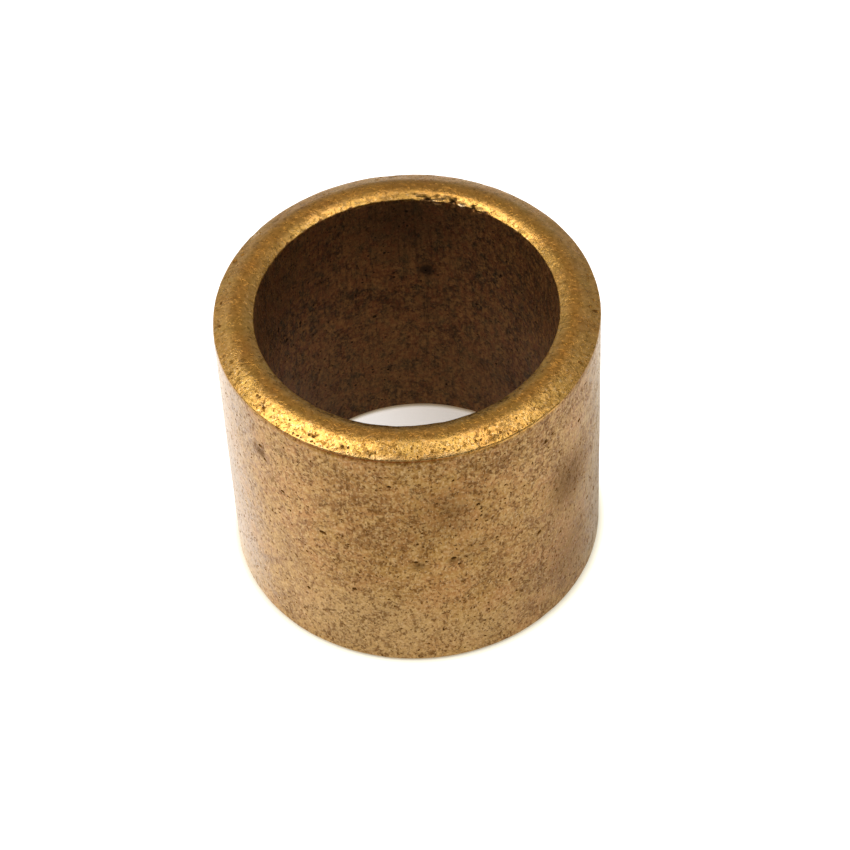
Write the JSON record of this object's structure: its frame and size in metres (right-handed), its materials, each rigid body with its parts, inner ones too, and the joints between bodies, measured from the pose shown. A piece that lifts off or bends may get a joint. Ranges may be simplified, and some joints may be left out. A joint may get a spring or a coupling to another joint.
{
  "type": "sleeve bushing",
  "caption": "Plain cylindrical sleeve bushing of sintered bronze with a straight through bore and chamfered ends.",
  "frame": {"origin": "on the centre line of the bore, in the plane of the lower end face", "axes": "+Z along the bore, from the lower end to the upper end; X and Y are radial"},
  "size_m": [0.0222, 0.0222, 0.0191],
  "materials": {
    "sintered_bronze": "sintered, satin wall with open pores, burnished chamfers"
  },
  "bodies": {
    "root": {"sleeve": "sintered_bronze"}
  },
  "joints": []
}
